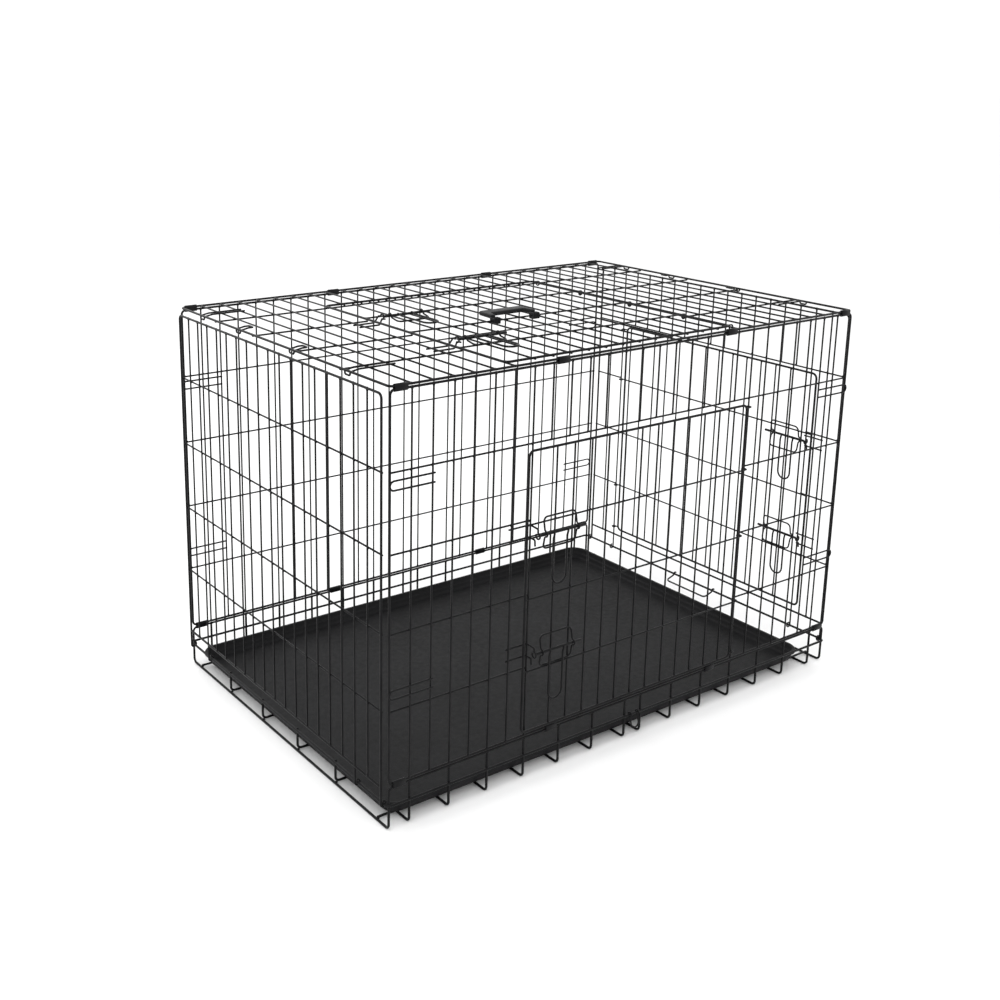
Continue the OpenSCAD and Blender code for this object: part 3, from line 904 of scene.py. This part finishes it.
def build_keepers(name, body, plane, node, bolts):
    """Keepers: two legs behind the uprights. The upper wire comes out through the door and curls
    round the bolt; the lower one comes out and is bent down at its end."""
    shape = Shape()
    for (low, high), bolt in zip(plane.grouped_boxes(node, len(bolts)), bolts):
        v, w, _ = bolt_axis(plane, bolt)
        leg_w = low.z + KEEPER_D / 2
        upper_v = high.y - KEEPER_D / 2
        lower_v = v - KEEPER_DROP
        ring_u = high.x - KEEPER_D / 2
        ring_r = high.z - KEEPER_D / 2 - w
        foot = ring_u - KEEPER_FOOT
        curl = arc(plane.point(ring_u, v, w), plane.v * ring_r, plane.u, math.radians(300))
        upper = [
            plane.point(low.x, upper_v, leg_w),
            plane.point(foot, upper_v, leg_w),
            plane.point(ring_u, v + KEEPER_RISE, w),
            curl[0],
        ]
        shape.wire(rounded(upper, KEEPER_BEND)[:-1] + curl, KEEPER_D)
        tail_u = ring_u - 0.8 * KEEPER_FOOT
        lower = [
            plane.point(low.x, lower_v, leg_w),
            plane.point(foot - 2 * MM, lower_v, leg_w),
            plane.point(tail_u, lower_v - 2 * MM, w - 0.4 * ring_r),
            plane.point(tail_u, lower_v - KEEPER_TAIL, w - 0.2 * ring_r),
        ]
        shape.wire(rounded(lower, KEEPER_BEND), KEEPER_D)
    wire_piece(name, shape, body, node)


# ---------------------------------------------------------------- Carry handle
def extruded(outline, low, high, round_off, steps=4):
    """Closed plate from an outline of Vectors (x, y), with rounded top and bottom edges."""
    shape = Shape()
    count = len(outline)
    normals = []
    for k in range(count):
        along = (outline[(k + 1) % count] - outline[k - 1]).normalized()
        normals.append(Vector((along.y, -along.x)))
    loops = []
    for base, sign in ((low + round_off, -1), (high - round_off, 1)):
        order = range(steps, -1, -1) if sign < 0 else range(steps + 1)
        for k in order:
            angle = math.pi / 2 * k / steps
            inset = round_off * (1 - math.cos(angle))
            z = base + sign * round_off * math.sin(angle)
            first = len(shape.verts)
            for p, n in zip(outline, normals):
                q = p - n * inset
                shape.verts.append(Vector((q.x, q.y, z)))
            loops.append(list(range(first, first + count)))
    for one, other in zip(loops, loops[1:]):
        shape.skin(one, other)
    shape.faces.append(tuple(reversed(loops[0])))
    shape.faces.append(tuple(loops[-1]))
    return shape


def soften(corners, radii):
    """Polygon with its corners turned as arcs, as flat Vectors."""
    made = []
    count = len(corners)
    for i, corner in enumerate(corners):
        before = (corners[i - 1] - corner).normalized()
        after = (corners[(i + 1) % count] - corner).normalized()
        turn = math.pi - before.angle(after)
        radius = radii[i]
        back = radius * math.tan(turn / 2)
        centre = corner + (before + after).normalized() * (radius / math.cos(turn / 2))
        start = corner + before * back - centre
        cross = before.x * after.y - before.y * after.x
        sign = -1 if cross > 0 else 1
        steps = 6
        for k in range(steps + 1):
            a = sign * turn * k / steps
            made.append(centre + Vector((start.x * math.cos(a) - start.y * math.sin(a),
                                         start.x * math.sin(a) + start.y * math.cos(a))))
    return made


def build_handle():
    """Moulded handle: a grip bar on two arms that narrow towards it, and its two ribbed clips."""
    low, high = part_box("carry_handle")
    arm = 12 * MM
    grip = 24 * MM
    taper = 3.5 * MM
    narrow = 2.5 * MM
    inner_y = high.y - grip
    corners = [
        (low.x, low.y), (low.x + arm - narrow, low.y),
        (low.x + arm + taper / 2, inner_y), (high.x - arm - taper / 2, inner_y),
        (high.x - arm + narrow, low.y), (high.x, low.y),
        (high.x - taper, high.y), (low.x + taper, high.y),
    ]
    radii = [r * MM for r in (3, 3, 5, 5, 3, 3, 6, 6)]
    outline = soften([Vector(p) for p in corners], radii)
    shape = extruded(outline, low.z, high.z, 2.4 * MM)
    make_piece("carry_handle.grip", shape, "carry_handle", ["carry_handle"], GRIP)

    shape = Shape()
    for clip_low, clip_high in solid_boxes("handle_clips"):
        ribbed_clip(shape, clip_low, clip_high)
    make_piece("carry_handle.clips", shape, "carry_handle", ["handle_clips"], GRIP,
               math.radians(35))


def ribbed_clip(shape, low, high):
    """Block along x with a bore, four grooves round it and softened ends."""
    bore = 1.75 * MM
    soft = 0.8 * MM
    groove = 1 * MM
    ribs = 5
    middle = (low + high) / 2
    half_y = 1.12 * (high.y - low.y) / 2
    half_z = (high.z - low.z) / 2
    length = high.x - low.x
    profile = [(0, soft), (soft, 0)]
    for k in range(1, ribs):
        x = length * k / ribs
        profile += [(x - groove, 0), (x - groove, groove), (x + groove, groove), (x + groove, 0)]
    profile += [(length - soft, 0), (length, soft)]
    loops = []
    for x, inset in profile:
        first = len(shape.verts)
        for y, z in rounded_rectangle(half_y - inset, half_z - inset, 2.5 * MM):
            shape.verts.append(Vector((low.x + x, middle.y + y, middle.z + z)))
        loops.append(list(range(first, len(shape.verts))))
    count = len(loops[0])
    for x in (length, 0):
        first = len(shape.verts)
        for y, z in rounded_rectangle(bore, bore, bore):
            shape.verts.append(Vector((low.x + x, middle.y + y, middle.z + z)))
        loops.append(list(range(first, first + count)))
    for one, other in zip(loops, loops[1:] + loops[:1]):
        shape.skin(one, other)


# ---------------------------------------------------------------- The crate
build_base()
build_tray()
build_tray_stop()
build_fold_hook()
build_grid("front_panel", FRONT, "front_uprights", "front_rails")
build_grid("back_panel", BACK, "back_uprights", "back_rails")
build_grid("top_panel", TOP, "top_cross_wires", "top_long_wires")
build_end("left_end", LEFT, "left_uprights", "left_rails", "left_hinge_loops")
build_end("right_end", RIGHT, "right_uprights", "right_rails", "right_hinge_loops")
for side, plane in (("front", FRONT), ("back", BACK)):
    build_hooks(f"{side}_panel.corner_hooks", f"{side}_panel", plane, f"{side}_corner_hooks")
    build_sleeves(f"{side}_panel.sleeves", f"{side}_panel", plane, f"{side}_sleeves")
build_hooks("top_panel.end_hooks", "top_panel", TOP, "top_end_hooks", over_edge=True)
build_sleeves("top_panel.sleeves", "top_panel", TOP, "top_sleeves")

DOORS = (
    ("front_door", "front_panel", FRONT, ("front_door_uprights", "front_door_rails"), "front_keepers",
     ("front_lower_bolt", "front_upper_bolt")),
    ("end_door", "right_end", RIGHT, ("end_door_uprights", "end_door_rails"), "right_keepers",
     ("end_lower_bolt", "end_upper_bolt")),
    ("top_door", "top_panel", TOP, ("top_door_cross_wires", "top_door_long_wires"), "top_keepers",
     ("top_front_bolt", "top_rear_bolt")),
)
for body, panel, plane, (uprights_node, rails_node), keepers, bolts in DOORS:
    door_plane = Plane(plane.u, plane.v, rails_node)
    lift = (door_plane.origin - plane.origin).dot(plane.w)
    build_door(body, door_plane, uprights_node, rails_node, f"{body}_curls", -lift)
    build_guides(body, door_plane, f"{body}_guides", bolts)
    build_keepers(f"{panel}.keepers", panel, plane, keepers, bolts)
    for bolt in bolts:
        build_bolt(bolt, door_plane)
build_handle()


# ---------------------------------------------------------------- Floor, light and camera
def build_floor():
    size = 40.0
    mesh = bpy.data.meshes.new("studio_floor")
    corners = [(-size, -size, 0), (size, -size, 0), (size, size, 0), (-size, size, 0)]
    mesh.from_pydata(corners, [], [(0, 1, 2, 3)])
    floor = bpy.data.objects.new("studio_floor", mesh)
    bpy.context.scene.collection.objects.link(floor)
    material, shader, add, position = new_material("pale_floor")
    tone = map_range(add, noise(add, position, 2.0), 0, 1)
    connect(material, shader, "Base Color", blend_colour(add, tone, FLOOR_DARK, FLOOR_PALE))
    shader.inputs["Roughness"].default_value = 0.7
    mesh.materials.append(material)


def area_light(name, place, aim, size, power):
    light = bpy.data.lights.new(name, "AREA")
    light.shape = "RECTANGLE"
    light.size, light.size_y = size
    light.energy = power
    lamp = bpy.data.objects.new(name, light)
    lamp.location = place
    lamp.rotation_mode = "QUATERNION"
    lamp.rotation_quaternion = (Vector(aim) - Vector(place)).to_track_quat("-Z", "Y")
    bpy.context.scene.collection.objects.link(lamp)


def build_light():
    world = bpy.data.worlds.new("studio")
    world.use_nodes = True
    world.node_tree.nodes["Background"].inputs["Color"].default_value = (1, 1, 1, 1)
    world.node_tree.nodes["Background"].inputs["Strength"].default_value = 1.12
    bpy.context.scene.world = world
    bpy.context.scene.view_settings.view_transform = "Standard"
    centre = (0, 0, 0.35)
    area_light("key", (-2.2, -1.4, 3.2), centre, (2.4, 2.4), 45)
    area_light("rim", (-1.0, 3.2, 2.4), centre, (3.0, 1.6), 35)
    area_light("fill", (3.4, -1.6, 1.8), centre, (2.0, 2.0), 10)


def build_camera():
    """Camera at the photo's viewing angle, from its azimuth, elevation, distance and aim."""
    azimuth, elevation, roll = math.radians(-35.22), math.radians(14.25), math.radians(0.53)
    distance = 2.549
    aside, above = -0.187, 0.215
    shift = (0.08, -0.12)
    forward = Vector((-math.sin(azimuth) * math.cos(elevation),
                      math.cos(azimuth) * math.cos(elevation), -math.sin(elevation)))
    right = Vector((math.cos(azimuth), math.sin(azimuth), 0))
    up = right.cross(forward)
    target = Vector((0, 0, 0.37)) + right * aside + up * above
    camera = bpy.data.objects.new("camera", bpy.data.cameras.new("camera"))
    camera.data.lens = 46.42
    camera.data.sensor_width = 36
    camera.data.shift_x, camera.data.shift_y = shift
    camera.location = target - forward * distance
    camera.rotation_mode = "QUATERNION"
    camera.rotation_quaternion = Quaternion(forward, -roll) @ forward.to_track_quat("-Z", "Y")
    bpy.context.scene.collection.objects.link(camera)
    bpy.context.scene.camera = camera


build_floor()
build_light()
build_camera()
